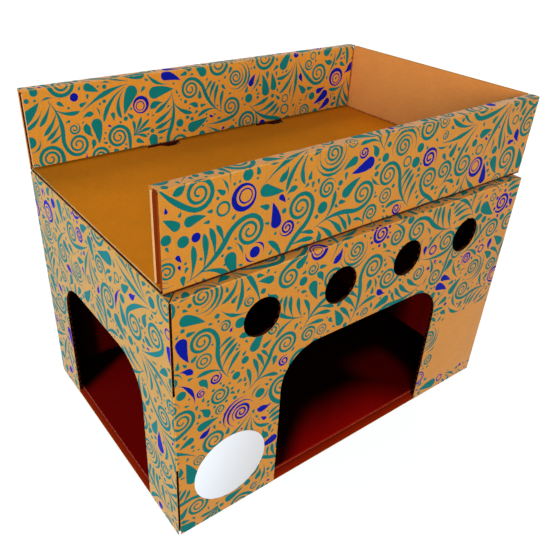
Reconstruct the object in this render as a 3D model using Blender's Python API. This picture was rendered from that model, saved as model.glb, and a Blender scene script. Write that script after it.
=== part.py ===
"""Cardboard cat house with a lift-off perch tray, in metres, +Z up.

The house is a sleeve of four corrugated walls with eight folded flanges and a
loose floor panel. The perch tray stands on it: a deck with one plain wall and
two roll-over walls, whose inner panels lock with tabs in slots of the deck.
Every panel between two creases is an object of its own.
"""
import math

import bmesh
import bpy
from mathutils import Matrix, Vector

BOARD = 0.004              # thickness of the corrugated board
GAP = 0.0003               # clearance between panels that touch
FOLD_RADIUS = 0.002        # outside radius of a crease
BASE_FOLD_RADIUS = 0.001   # the creases that the house stands on are pressed sharper
FOLD_RELIEF = 0.00025      # each panel stops this far short of the corner line

HOUSE_W = 0.450            # outside width, along X
HOUSE_D = 0.298            # outside depth, along Y
HOUSE_H = 0.277            # height of the four walls
FLANGE = 0.060             # depth of the folded flanges
FLANGE_END = 0.0005        # clearance of a flange's slanted ends at the free edge
FLANGE_ROOT = 0.006        # a flange's crease stops this far from the corners
FLANGE_ROOT_CLEAR = 0.0008 # clearance at the root, which lets a flange swing past its neighbours
GLUE_FLAP = 0.032
GLUE_FLAP_TAPER = 0.012
FLOOR_SIDE = 0.006         # floor panel's distance from the outer face, left and right
FLOOR_FRONT = 0.009        # and at the front and back

FRONT_DOOR = (0.117, 0.340, 0.1755)   # left jamb, right jamb, height
LEFT_DOOR = (0.0594, 0.2430, 0.171)   # front jamb, back jamb, height
DOOR_RADIUS = 0.043
VENT_RADIUS = 0.020
VENT_FIRST = 0.0901        # centre of the first round hole, from the left
VENT_PITCH = 0.0915
VENT_COUNT = 4
VENT_HEIGHT = 0.2289
SLIT_WIDTH = 0.0012        # the front left corner is cut through above and below
UPPER_SLIT_FOOT = 0.183
LOWER_SLIT_TOP = 0.093

STICKER_RADIUS = 0.041
STICKER_CENTRE = (0.0598, 0.0634)
STICKER_THICKNESS = 0.0002

TRAY_LEFT = 0.001          # the tray's free edge, from the house's left face
TRAY_RIGHT = 0.455         # the tray is a little longer than the house
TRAY_FRONT = 0.009         # set back from the house's front
TRAY_BACK = 0.298
TRAY_H = 0.087             # from the underside to the rim
ROLL_W = 0.013             # width of a roll-over wall, over both boards
INNER_LIFT = 0.0025        # an inner panel's foot stands this far over the deck
TAB_W = 0.041
TAB_CENTRES = (0.155, 0.311)
TAB_RADIUS = 0.006
SLOT_SIDE = 0.001          # a slot is longer than its tab by this at each end
SLOT_BEHIND = 0.0005
SLOT_AHEAD = 0.003         # the part of a slot that shows in front of its panel
CORNER_FLAP = 0.062
CORNER_FLAP_TOP = 0.006    # clearance under the ridge
CORNER_FLAP_TAPER = 0.014

ARC_STEPS = 10
ROUND_STEPS = 48
SHARP_ANGLE = math.radians(30)
STICKER_PROUD = STICKER_THICKNESS + GAP

# World places of the house's left and front faces: the origin is under the
# middle of the whole object, on the surface that it stands on.
LEFT = -TRAY_RIGHT / 2
FRONT = -(HOUSE_D - STICKER_PROUD) / 2
DECK_FOOT = HOUSE_H + GAP
RIM = DECK_FOOT + TRAY_H

PRINTED_KRAFT = (0.73, 0.30, 0.055)
PLAIN_KRAFT = (0.46, 0.17, 0.030)
WHITE_PAPER = (0.86, 0.86, 0.85)


def clear_scene():
    for obj in list(bpy.data.objects):
        bpy.data.objects.remove(obj, do_unlink=True)


def board_material(name, colour, roughness):
    material = bpy.data.materials.new(name)
    material.use_nodes = True
    shader = material.node_tree.nodes["Principled BSDF"]
    shader.inputs["Base Color"].default_value = (*colour, 1.0)
    shader.inputs["Roughness"].default_value = roughness
    shader.inputs["Metallic"].default_value = 0.0
    material.diffuse_color = (*colour, 1.0)
    return material


def fold_inset(depth, radius):
    """How far a folded edge stands back from the corner line, at a depth under the outer face."""
    if depth >= radius * (1 - math.cos(math.pi / 4)):
        return depth + FOLD_RELIEF
    return radius - math.sqrt(radius ** 2 - (radius - depth) ** 2) + FOLD_RELIEF


def fold_depths(thickness):
    arc = [FOLD_RADIUS * (1 - math.cos(math.radians(angle))) for angle in (0, 22.5, 45)]
    return arc + [thickness]


def rounded(centre, radius, start_deg, end_deg, steps=ARC_STEPS):
    """Points of an arc, from one angle to the other."""
    points = []
    for i in range(steps + 1):
        angle = math.radians(start_deg + (end_deg - start_deg) * i / steps)
        points.append((centre[0] + radius * math.cos(angle), centre[1] + radius * math.sin(angle)))
    return points


def rectangle(u0, v0, u1, v1):
    return [(u0, v0), (u1, v0), (u1, v1), (u0, v1)]


def wall_with_door(width, height, door):
    """A wall's outline with a doorway that is open to the ground."""
    near, far, top = door
    arch = [(near, 0)]
    arch += rounded((near + DOOR_RADIUS, top - DOOR_RADIUS), DOOR_RADIUS, 180, 90)
    arch += rounded((far - DOOR_RADIUS, top - DOOR_RADIUS), DOOR_RADIUS, 90, 0)
    arch += [(far, 0)]
    return [(0, 0)] + arch + [(width, 0), (width, height), (0, height)]


def make_board(name, outline, place, colour, folds=None, thickness=BOARD):
    """A panel of board: its outer face's outline, extruded inwards in layers.

    place is the origin and the U and V directions of the outer face, which
    looks along U x V. folds gives the outside radius of the crease on each
    side of the outline's box that is folded: left, right, foot or head.
    """
    folds = folds or {}
    low_u, high_u = min(p[0] for p in outline), max(p[0] for p in outline)
    low_v, high_v = min(p[1] for p in outline), max(p[1] for p in outline)

    def at_depth(point, depth):
        inset = {side: fold_inset(depth, radius) for side, radius in folds.items()}
        u = min(max(point[0], low_u + inset.get("left", 0)), high_u - inset.get("right", 0))
        v = min(max(point[1], low_v + inset.get("foot", 0)), high_v - inset.get("head", 0))
        return u, v, -depth

    depths = fold_depths(thickness) if folds else [0, thickness]
    bm = bmesh.new()
    rings = [[bm.verts.new(at_depth(point, depth)) for point in outline] for depth in depths]
    bm.faces.new(rings[0])
    bm.faces.new(list(reversed(rings[-1])))
    for outer, inner in zip(rings, rings[1:]):
        for i in range(len(outline)):
            bm.faces.new((outer[i - 1], inner[i - 1], inner[i], outer[i])).smooth = True
    board = finish(name, bm, colour)
    origin, u_axis, v_axis = (Vector(part) for part in place)
    axes = Matrix((u_axis, v_axis, u_axis.cross(v_axis))).transposed()
    board.matrix_world = Matrix.Translation(origin) @ axes.to_4x4()
    return board


def finish(name, bm, colour):
    bmesh.ops.recalc_face_normals(bm, faces=bm.faces)
    mesh = bpy.data.meshes.new(name)
    bm.to_mesh(mesh)
    bm.free()
    mesh.set_sharp_from_angle(angle=SHARP_ANGLE)
    obj = bpy.data.objects.new(name, mesh)
    bpy.context.scene.collection.objects.link(obj)
    if colour is not None:
        mesh.materials.append(board_material(name, colour, 0.8))
    return obj


def cut(board, name, bm):
    """Cut the shapes of a bmesh out of a board, and keep them as a wire guide."""
    cutter = finish(name, bm, None)
    cutter.hide_render = True
    cutter.display_type = "WIRE"
    boolean = board.modifiers.new(name, "BOOLEAN")
    boolean.operation = "DIFFERENCE"
    boolean.solver = "EXACT"
    boolean.object = cutter


def add_disc(bm, centre, radius, depth):
    """A round disc whose axis is along Y."""
    place = Matrix.Translation(centre) @ Matrix.Rotation(math.pi / 2, 4, "X")
    bmesh.ops.create_cone(bm, cap_ends=True, segments=ROUND_STEPS, radius1=radius, radius2=radius,
                          depth=depth, matrix=place)
    for face in bm.faces:
        face.smooth = len(face.verts) == 4


def add_block(bm, low, high):
    centre = (Vector(low) + Vector(high)) / 2
    size = Vector(high) - Vector(low)
    bmesh.ops.create_cube(bm, size=1, matrix=Matrix.Translation(centre) @ Matrix.Diagonal((*size, 1)))


def joint_empty(name, place):
    """An empty on a joint's axis; the pieces that the joint moves are its children."""
    empty = bpy.data.objects.new(name, None)
    empty.empty_display_size = 0.03
    empty.location = place
    bpy.context.scene.collection.objects.link(empty)
    return empty


def set_parent(child, parent):
    child.parent = parent
    child.matrix_parent_inverse = Matrix.Translation(parent.location).inverted()


# Directions of each outer face, seen from outside: U runs to the right, V up.
SIDES = {
    "front": ((LEFT, FRONT, 0), (1, 0, 0), (0, 0, 1)),
    "right": ((LEFT + HOUSE_W, FRONT, 0), (0, 1, 0), (0, 0, 1)),
    "back": ((LEFT + HOUSE_W, FRONT + HOUSE_D, 0), (-1, 0, 0), (0, 0, 1)),
    "left": ((LEFT, FRONT + HOUSE_D, 0), (0, -1, 0), (0, 0, 1)),
}
SIDE_LENGTH = {"front": HOUSE_W, "right": HOUSE_D, "back": HOUSE_W, "left": HOUSE_D}


def make_walls():
    sharp = {"foot": BASE_FOLD_RADIUS}
    round_all = {"left": FOLD_RADIUS, "right": FOLD_RADIUS, "head": FOLD_RADIUS, **sharp}

    front = make_board("front_wall", wall_with_door(HOUSE_W, HOUSE_H, FRONT_DOOR),
                       SIDES["front"], PRINTED_KRAFT, round_all)
    # The left wall's outline is measured from its back edge, so the door is mirrored.
    near, far, top = LEFT_DOOR
    left = make_board("left_wall", wall_with_door(HOUSE_D, HOUSE_H, (HOUSE_D - far, HOUSE_D - near, top)),
                      SIDES["left"], PRINTED_KRAFT, round_all)

    # The sleeve is closed at its back right corner: the back wall laps over
    # the glue flap, which is folded from the right wall's back edge.
    lap = BOARD + GAP
    make_board("back_wall", rectangle(0, 0, HOUSE_W, HOUSE_H), SIDES["back"], PRINTED_KRAFT,
               {"right": FOLD_RADIUS, "head": FOLD_RADIUS, **sharp})
    make_board("right_wall", rectangle(0, 0, HOUSE_D - lap, HOUSE_H), SIDES["right"],
               PRINTED_KRAFT, round_all)
    foot = BOARD + FLOOR_SIDE
    glue = [(0, foot), (GLUE_FLAP, foot + GLUE_FLAP_TAPER),
            (GLUE_FLAP, HOUSE_H - foot - GLUE_FLAP_TAPER), (0, HOUSE_H - foot)]
    place = ((LEFT + HOUSE_W, FRONT + HOUSE_D - lap, 0), (-1, 0, 0), (0, 0, 1))
    make_board("glue_flap", glue, place, PLAIN_KRAFT, {"left": FOLD_RADIUS})

    bm = bmesh.new()
    for i in range(VENT_COUNT):
        centre = (LEFT + VENT_FIRST + i * VENT_PITCH, FRONT + BOARD / 2, VENT_HEIGHT)
        add_disc(bm, centre, VENT_RADIUS, 3 * BOARD)
    cut(front, "vent_cutter", bm)

    # The crease of the front left corner is cut through at the top and at the foot.
    for wall in (front, left):
        bm = bmesh.new()
        for low, high in ((UPPER_SLIT_FOOT, HOUSE_H + BOARD), (-BOARD, LOWER_SLIT_TOP)):
            add_block(bm, (-2 * BOARD, -SLIT_WIDTH / 2, low), (3 * BOARD, SLIT_WIDTH / 2, high))
        corner = Matrix.Translation((LEFT, FRONT, 0)) @ Matrix.Rotation(math.pi / 4, 4, "Z")
        bmesh.ops.transform(bm, matrix=corner, verts=bm.verts)
        cut(wall, wall.name + "_slit_cutter", bm)


def make_flanges():
    """Eight flanges, four at the head and four at the foot, whose slanted ends meet at 45 degrees."""
    for side, (origin, u_axis, v_axis) in SIDES.items():
        length = SIDE_LENGTH[side]
        inward = -Vector(u_axis).cross(Vector(v_axis))
        root, root_rise = FLANGE_ROOT, FLANGE_ROOT - FLANGE_ROOT_CLEAR
        half = [(root, 0), (root, root_rise), (FLANGE + FLANGE_END, FLANGE)]
        outline = half + [(length - u, v) for u, v in reversed(half)]

        head = Vector(origin) + Vector((0, 0, HOUSE_H))
        make_board("top_flange_" + side, outline, (head, u_axis, inward),
                   PRINTED_KRAFT, {"foot": FOLD_RADIUS})

        # A bottom flange's outer face looks down, so its U direction is turned round.
        end = Vector(origin) + Vector(u_axis) * length
        flange = make_board("bottom_flange_" + side, outline, (end, -Vector(u_axis), inward),
                            PRINTED_KRAFT, {"foot": BASE_FOLD_RADIUS})
        middle = Vector(origin) + Vector(u_axis) * length / 2
        set_parent(flange, joint_empty("crease_of_bottom_flange_" + side, middle))


def make_floor_panel():
    foot = BOARD + GAP
    outline = rectangle(FLOOR_SIDE, FLOOR_FRONT, HOUSE_W - FLOOR_SIDE, HOUSE_D - FLOOR_FRONT)
    place = ((LEFT, FRONT, foot + BOARD), (1, 0, 0), (0, 1, 0))
    panel = make_board("floor_panel", outline, place, PLAIN_KRAFT)
    middle = Vector((LEFT + HOUSE_W / 2, FRONT + HOUSE_D / 2, foot))
    set_parent(panel, joint_empty("lift_of_floor_panel", middle))


def make_sticker():
    bm = bmesh.new()
    centre = (LEFT + STICKER_CENTRE[0], FRONT - STICKER_PROUD + STICKER_THICKNESS / 2, STICKER_CENTRE[1])
    add_disc(bm, centre, STICKER_RADIUS, STICKER_THICKNESS)
    finish("round_sticker", bm, WHITE_PAPER)


def roll_over_wall(side, face_y, into):
    """Outer panel, ridge and inner panel of one roll-over wall; into is +1 or -1, towards the tray."""
    width = TRAY_RIGHT - TRAY_LEFT
    # U runs to the right as seen from the outer face, so it turns with the side.
    u_axis = (into, 0, 0)
    start_x = LEFT + (TRAY_LEFT if into > 0 else TRAY_RIGHT)
    crease = {"foot": FOLD_RADIUS, "head": FOLD_RADIUS}
    outer = make_board(f"tray_{side}_outer", rectangle(0, 0, width, TRAY_H),
                       ((start_x, face_y, DECK_FOOT), u_axis, (0, 0, 1)), PRINTED_KRAFT, crease)
    ridge = make_board(f"tray_{side}_ridge", rectangle(0, 0, width, ROLL_W),
                       ((start_x, face_y, RIM), u_axis, (0, into, 0)), PRINTED_KRAFT, crease)

    # The inner panel stops short of the right wall. Its printed face looks into the tray.
    inner_width = width - BOARD - GAP
    foot = BOARD + INNER_LIFT
    tab_foot = GAP
    outline = [(0, TRAY_H), (0, foot)]
    tabs = [c - TRAY_LEFT for c in TAB_CENTRES]
    for centre in tabs:
        near, far = centre - TAB_W / 2, centre + TAB_W / 2
        outline += [(near, foot)]
        outline += rounded((near + TAB_RADIUS, tab_foot + TAB_RADIUS), TAB_RADIUS, 180, 270, 4)
        outline += rounded((far - TAB_RADIUS, tab_foot + TAB_RADIUS), TAB_RADIUS, 270, 360, 4)
        outline += [(far, foot)]
    outline += [(inner_width, foot), (inner_width, TRAY_H)]
    inner_face = (LEFT + TRAY_LEFT, face_y + into * ROLL_W, DECK_FOOT)
    if into > 0:
        # This face looks along +Y, so its U runs along -X and the outline is mirrored.
        outline = [(inner_width - u, v) for u, v in reversed(outline)]
        inner_face = (inner_face[0] + inner_width, inner_face[1], inner_face[2])
    inner = make_board(f"tray_{side}_inner", outline, (inner_face, (-into, 0, 0), (0, 0, 1)),
                       PRINTED_KRAFT, {"head": FOLD_RADIUS})
    return [outer, ridge, inner]


def make_tray():
    front_y, back_y = FRONT + TRAY_FRONT, FRONT + TRAY_BACK
    pieces = roll_over_wall("front", front_y, 1) + roll_over_wall("back", back_y, -1)

    # The deck's printed face is its underside; its left edge is bare board.
    width, depth = TRAY_RIGHT - TRAY_LEFT, TRAY_BACK - TRAY_FRONT
    deck = make_board("tray_deck", rectangle(0, 0, width, depth),
                      ((LEFT + TRAY_RIGHT, front_y, DECK_FOOT), (-1, 0, 0), (0, 1, 0)), PLAIN_KRAFT,
                      {"left": FOLD_RADIUS, "foot": FOLD_RADIUS, "head": FOLD_RADIUS})
    bm = bmesh.new()
    for centre in TAB_CENTRES:
        low_x, high_x = (LEFT + centre + sign * (TAB_W / 2 + SLOT_SIDE) for sign in (-1, 1))
        for face_y, into in ((front_y, 1), (back_y, -1)):
            near = face_y + into * (ROLL_W - BOARD - SLOT_BEHIND)
            far = face_y + into * (ROLL_W + SLOT_AHEAD)
            low_y, high_y = min(near, far), max(near, far)
            add_block(bm, (low_x, low_y, DECK_FOOT - BOARD), (high_x, high_y, DECK_FOOT + 2 * BOARD))
    cut(deck, "slot_cutter", bm)

    # The right wall is one board. Its ends are cut lower, to pass under the two ridges.
    side_clear = BOARD + (ROLL_W - 3 * BOARD) / 2
    length = depth - 2 * side_clear
    shoulder = ROLL_W - side_clear + GAP
    low_top = TRAY_H - BOARD - GAP
    outline = [(0, 0), (length, 0), (length, low_top), (length - shoulder, low_top),
               (length - shoulder, TRAY_H), (shoulder, TRAY_H), (shoulder, low_top), (0, low_top)]
    wall = make_board("tray_right_wall", outline,
                      ((LEFT + TRAY_RIGHT, front_y + side_clear, DECK_FOOT), (0, 1, 0), (0, 0, 1)),
                      PRINTED_KRAFT, {"foot": FOLD_RADIUS, "left": FOLD_RADIUS, "right": FOLD_RADIUS})

    # A flap folded from each end of the right wall is held between the two
    # boards of a roll-over wall. Its free end is tapered, to slip in.
    foot, head = BOARD + GAP, TRAY_H - BOARD - CORNER_FLAP_TOP
    flap = [(0, foot), (CORNER_FLAP - CORNER_FLAP_TAPER, foot), (CORNER_FLAP, foot + CORNER_FLAP_TAPER),
            (CORNER_FLAP, head - 2 * CORNER_FLAP_TAPER), (CORNER_FLAP - CORNER_FLAP_TAPER, head), (0, head)]
    mirrored = [(CORNER_FLAP - u, v) for u, v in reversed(flap)]
    front_place = ((LEFT + TRAY_RIGHT - CORNER_FLAP, front_y + side_clear, DECK_FOOT), (1, 0, 0), (0, 0, 1))
    back_place = ((LEFT + TRAY_RIGHT, back_y - side_clear, DECK_FOOT), (-1, 0, 0), (0, 0, 1))
    pieces += [
        deck, wall,
        make_board("tray_corner_flap_front", mirrored, front_place, PLAIN_KRAFT, {"right": FOLD_RADIUS}),
        make_board("tray_corner_flap_back", flap, back_place, PLAIN_KRAFT, {"left": FOLD_RADIUS}),
    ]
    middle = Vector((LEFT + TRAY_LEFT + width / 2, front_y + depth / 2, DECK_FOOT))
    lift = joint_empty("lift_of_tray", middle)
    for piece in pieces:
        set_parent(piece, lift)


clear_scene()
make_walls()
make_flanges()
make_floor_panel()
make_sticker()
make_tray()
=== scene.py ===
# %% [markdown]
# # A cat house folded from printed cardboard
#
# The house is one long blank of corrugated board, folded round into four
# walls with flanges at the head and foot. A second blank is folded into the
# perch tray on its roof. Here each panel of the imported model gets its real
# make-up: an outer paper, a wavy middle paper and an inner paper, with the
# ink as a thin layer of its own.

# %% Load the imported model
import math
import random

import bmesh
import bpy
import numpy as np
from mathutils import Matrix, Vector


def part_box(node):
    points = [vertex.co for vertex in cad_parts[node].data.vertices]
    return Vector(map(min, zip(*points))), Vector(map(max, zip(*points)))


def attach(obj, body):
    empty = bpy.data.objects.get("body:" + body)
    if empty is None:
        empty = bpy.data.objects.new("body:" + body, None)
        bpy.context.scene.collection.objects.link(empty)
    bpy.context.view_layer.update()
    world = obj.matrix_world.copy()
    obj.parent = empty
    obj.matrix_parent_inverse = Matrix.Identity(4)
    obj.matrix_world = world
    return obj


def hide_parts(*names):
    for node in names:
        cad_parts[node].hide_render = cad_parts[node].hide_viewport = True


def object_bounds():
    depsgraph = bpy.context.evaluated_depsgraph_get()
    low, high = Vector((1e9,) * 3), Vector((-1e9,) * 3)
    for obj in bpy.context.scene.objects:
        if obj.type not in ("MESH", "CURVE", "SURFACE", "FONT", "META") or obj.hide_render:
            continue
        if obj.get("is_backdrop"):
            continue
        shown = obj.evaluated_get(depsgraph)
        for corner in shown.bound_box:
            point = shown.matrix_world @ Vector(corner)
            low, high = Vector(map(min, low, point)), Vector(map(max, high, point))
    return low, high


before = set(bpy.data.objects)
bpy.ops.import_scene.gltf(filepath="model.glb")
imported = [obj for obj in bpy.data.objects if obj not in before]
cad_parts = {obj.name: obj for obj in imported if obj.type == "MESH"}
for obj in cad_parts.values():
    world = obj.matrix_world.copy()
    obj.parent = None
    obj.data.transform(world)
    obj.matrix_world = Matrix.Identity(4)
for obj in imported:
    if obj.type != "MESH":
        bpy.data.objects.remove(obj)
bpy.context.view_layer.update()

# %% [markdown]
# ## The sizes that everything else comes from
#
# Corrugated board has two flat papers and a wavy one between them. The wave
# shows at every cut edge, so it is modelled and not painted. The papers sit a
# hair inside the solids, which leaves room for the ink.

# %% Make-up of the board, in metres
MM = 0.001
BOARD = 4 * MM
PAPER = 0.35 * MM
WAVE_PITCH = 7.5 * MM
WAVE_STEPS = 8
WAVE_PAPER = 0.3 * MM
WAVE_SHORT = 0.1 * MM  # a cut squeezes the wave back a hair behind the flat papers
FACE_DEPTH = 0.06 * MM  # how deep the outer paper's face lies under the solid's
INK_DEPTH = 0.02 * MM
INK_THICKNESS = 0.07 * MM
FOLD = 2 * MM  # outside radius of a crease
BASE_FOLD = 1 * MM  # the creases that the house stands on are sharper
HINGE_GAP = 0.25 * MM  # kept beside a crease that turns
RIM = 2.4 * MM  # how far a knife bruises the paper at a cut edge
CORNER_SHADE = 5.5 * MM  # how far painted shade reaches along the tray's inner corners
HALF_ARC = 1 - math.pi / 4  # two folded papers meet this many radii from their corner
WAVE_HEIGHT = BOARD - 2 * PAPER - 2 * FACE_DEPTH - WAVE_PAPER
print("wave height in mm:", round(WAVE_HEIGHT / MM, 2))

# %% Sizes of the house and the tray
HOUSE_W, HOUSE_D, HOUSE_H = 450 * MM, 298 * MM, 277 * MM
FLANGE, FLANGE_ROOT, FLANGE_RISE, FLANGE_TIP = 60 * MM, 6 * MM, 5.2 * MM, 60.5 * MM
LEFT, FRONT = -227.5 * MM, -148.75 * MM
LAP = 4.3 * MM  # the back wall laps over the glue flap by a board and a gap
DECK_FOOT, TRAY_H = 277.3 * MM, 87 * MM
TRAY_LEFT, TRAY_W = LEFT + 1 * MM, 454 * MM
TRAY_FRONT, TRAY_D = FRONT + 9 * MM, 289 * MM
ROLL = 13 * MM
CUT_BELOW, CUT_ABOVE = 93 * MM, 183 * MM  # the front left corner is cut through below and above
CUT_SHOWS = 2.4 * MM  # how much of the left wall's raw end shows there
CUT_RECESS = 0.8 * MM  # how deep that end lies

# %% [markdown]
# ## A panel, flat and folded
#
# A die cutter sees every panel flat, so each is built flat: U runs to the
# right and V up, as seen from the printed side. Its holes are punched, its
# edges are rolled round their creases, and it is set in its place. Papers and
# ink go through the same steps, so they stay together round every crease.

# %% Panels
X, Y, Z = Vector((1, 0, 0)), Vector((0, 1, 0)), Vector((0, 0, 1))
SIDES = ("left", "foot", "right", "head")


def spun(angle):
    return Matrix.Rotation(angle, 4, "Z")


def moved(u, v):
    return Matrix.Translation((u, v, 0))


def turned(u, v):
    return moved(u, v) @ spun(math.pi)


class Panel:
    """A flat panel of board between two creases.

    folds has the radius of each folded side's crease, and hinge the sides that turn. Along
    its rims the inner paper is marked: with a knife's bruise on most panels, and with painted
    shade in the tray's inner corners. Each rim has its start and its reach. shaded is how high
    painted shade darkens the printed paper at the foot, and uncreased where the right side is flat.
    """

    flutes, holes, face_holes, sheet, on_sheet, hinge = "across", (), None, None, None, ()
    lining, core, rims, uncreased, shaded = "plain", "core", {}, (), 0.0

    def __init__(self, name, body, corner, across, up, size, folds=None, **options):
        self.name, self.body, self.size, self.folds = name, body, size, folds or {}
        vars(self).update(options)
        self.holes = list(self.holes)
        self.face_holes = self.face_holes or self.holes
        axes = Matrix((across, up, across.cross(up))).transposed()
        self.place = Matrix.Translation(corner) @ axes.to_4x4()

    def inset(self, side, depth):
        """How far inside a side a paper at a depth ends, to meet its neighbour."""
        if side not in self.folds:
            return 0.0
        radius = self.folds[side]
        return (radius * HALF_ARC if depth < radius else BOARD) + HINGE_GAP * (side in self.hinge)

    def limits(self, depth):
        """The flat rectangle of a paper at a depth."""
        left, foot, right, head = (self.inset(side, depth) for side in SIDES)
        return left, foot, self.size[0] - right, self.size[1] - head


PANELS = {}


def add_panel(name, *args, **kwargs):
    PANELS[name] = Panel(name, *args, **kwargs)


print("a panel can be folded at its", SIDES)

# %% Convex outlines to punch out
DOOR_RADIUS, DOOR_STEPS, ROUND_STEPS = 43 * MM, 10, 48


def box_hole(u0, v0, u1, v1):
    return [(u0, v0), (u1, v0), (u1, v1), (u0, v1)]


def arc(centre, radius, start, end, steps):
    angles = [math.radians(start + (end - start) * i / steps) for i in range(steps + 1)]
    return [(centre[0] + radius * math.cos(a), centre[1] + radius * math.sin(a)) for a in angles]


def door_hole(near, far, top):
    """A doorway that is open to the ground, with rounded upper corners."""
    height = top - DOOR_RADIUS
    sill = [(near, -MM), (far, -MM)]
    right = arc((far - DOOR_RADIUS, height), DOOR_RADIUS, 0, 90, DOOR_STEPS)
    return sill + right + arc((near + DOOR_RADIUS, height), DOOR_RADIUS, 90, 180, DOOR_STEPS)


def round_hole(centre, radius):
    return arc(centre, radius, 0, 360, ROUND_STEPS)[:-1]


def mirrored(hole, width):
    return [(width - u, v) for u, v in reversed(hole)]


print("a vent has", len(round_hole((0, 0), 1)), "corners")

# %% [markdown]
# ## The sleeve
#
# Four walls in a row make the sleeve: left, front, right, back. Its flutes run
# round the house, so a zigzag shows in the doorways' upright edges. The front
# left corner is a crease only in its middle. Above and below, the board is cut
# through, and the left wall's raw end shows as a dark ribbed line: it lies in a
# small recess, and its wave is painted near black as shade.

# %% The four walls
FRONT_DOOR = door_hole(near=117 * MM, far=340 * MM, top=175.5 * MM)
LEFT_DOOR = mirrored(door_hole(near=59.4 * MM, far=243 * MM, top=171 * MM), HOUSE_D)
VENT_FIRST, VENT_STEP = 90.1, 91.5  # where the vents' centres lie along the wall, in mm
VENT_HEIGHT, VENT_RADIUS = 228.9 * MM, 20 * MM
VENTS = [round_hole(((VENT_FIRST + VENT_STEP * i) * MM, VENT_HEIGHT), VENT_RADIUS)
         for i in range(4)]
HALF_SLIT = 0.15 * MM  # of the slits where the left corner's cuts end
CUT_ZONES = ((-MM, CUT_BELOW), (CUT_ABOVE, HOUSE_H + MM))
slit_ends = [box_hole(HOUSE_D - (LAP + MM), v - HALF_SLIT, HOUSE_D + MM, v + HALF_SLIT)
             for v in (CUT_BELOW, CUT_ABOVE)]
corner_cuts, face_cuts = ([box_hole(-MM, low, reach, high) for low, high in CUT_ZONES]
                          for reach in (LAP, CUT_SHOWS))
rounded_wall = {"left": FOLD, "right": FOLD, "head": FOLD, "foot": BASE_FOLD}

WALLS = {
    "left": (Vector((LEFT, FRONT + HOUSE_D, 0)), -Y, HOUSE_D, 0),
    "front": (Vector((LEFT, FRONT, 0)), X, HOUSE_W, HOUSE_D),
    "right": (Vector((LEFT + HOUSE_W, FRONT, 0)), Y, HOUSE_D, HOUSE_D + HOUSE_W),
    "back": (Vector((LEFT + HOUSE_W, FRONT + HOUSE_D, 0)), -X, HOUSE_W, 2 * HOUSE_D + HOUSE_W),
}
HOLES = {"front": [FRONT_DOOR] + VENTS + corner_cuts, "left": [LEFT_DOOR] + slit_ends}
FACE_HOLES = {"front": [FRONT_DOOR] + VENTS + face_cuts}

for side, (corner, across, width, along) in WALLS.items():
    folds = dict(rounded_wall)
    if side == "back":
        del folds["left"]
    panel_w = width - LAP if side == "right" else width
    add_panel(side + "_wall", "house", corner, across, Z, (panel_w, HOUSE_H), folds,
              holes=HOLES.get(side, ()), face_holes=FACE_HOLES.get(side), sheet="sleeve",
              on_sheet=moved(along, 0), hinge=("foot",), lining="cabin",
              uncreased=CUT_ZONES if side == "left" else ())
print("walls:", len(PANELS))

# %% Flanges, glue flap and floor panel
def slanted_end(notched):
    """What is cut off a flange's end: a slant, and on the bottom flanges a notch at the root."""
    slope = (FLANGE - FLANGE_RISE) / (FLANGE_TIP - FLANGE_ROOT)
    slant = [(-MM, FLANGE_RISE - slope * (FLANGE_ROOT + MM)), (FLANGE_TIP, FLANGE),
             (FLANGE_TIP, FLANGE + MM), (-MM, FLANGE + MM)]
    return [slant] + [box_hole(-MM, -MM, FLANGE_ROOT, FLANGE_RISE)] * notched


for side, (corner, across, width, along) in WALLS.items():
    top_ends, bottom_ends = ([*ends, *(mirrored(hole, width) for hole in ends)]
                             for ends in (slanted_end(False), slanted_end(True)))
    inward = -across.cross(Z)
    add_panel("top_flange_" + side, "house", corner + HOUSE_H * Z, across, inward, (width, FLANGE),
              {"foot": FOLD}, holes=top_ends, sheet="sleeve", lining="cabin",
              on_sheet=moved(along, HOUSE_H))
    add_panel("bottom_flange_" + side, "bottom_flange_" + side, corner + width * across, -across,
              inward, (width, FLANGE), {"foot": BASE_FOLD}, holes=bottom_ends, sheet="sleeve",
              on_sheet=turned(along + width, 0), hinge=("foot",), lining="sill", core="sill")


def tapers(width, height, near, low, high, lean=0.0):
    """What is cut off a flap's two outer corners."""
    out = width + MM
    return [[(near, 0), (near, -MM), (out, -MM), (out, low + lean), (width, low)],
            [(near, height), (width, high), (out, high), (out, height + MM), (near, height + MM)]]


GLUE_W, GLUE_TAPER, GLUE_FOOT = 32 * MM, 12 * MM, 10 * MM
glue_h = HOUSE_H - 2 * GLUE_FOOT
glue_tapers = tapers(GLUE_W, glue_h, 0, GLUE_TAPER, glue_h - GLUE_TAPER)
add_panel("glue_flap", "house", Vector((LEFT + HOUSE_W, FRONT + HOUSE_D - LAP, GLUE_FOOT)), -X, Z,
          (GLUE_W, glue_h), {"left": FOLD}, holes=glue_tapers, lining="cabin")
ROOM_W, ROOM_D, FLOOR_HEIGHT = 6 * MM, 9 * MM, 8.3 * MM  # room round the floor panel
add_panel("floor_panel", "floor_panel", Vector((LEFT + ROOM_W, FRONT + ROOM_D, FLOOR_HEIGHT)), X, Y,
          (HOUSE_W - 2 * ROOM_W, HOUSE_D - 2 * ROOM_D), lining="floor", core="sill",
          rims=dict.fromkeys(SIDES, (0.0, RIM)))
print("panels of the house:", len(PANELS))

# %% [markdown]
# ## The perch tray
#
# The tray's front and back walls are rolled over: an outer panel goes up, a
# narrow ridge goes over, and an inner panel comes down and locks with two
# tabs in slots of the deck. Its flutes stand upright in these walls. The
# printed side of this blank faces down and out.

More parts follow.
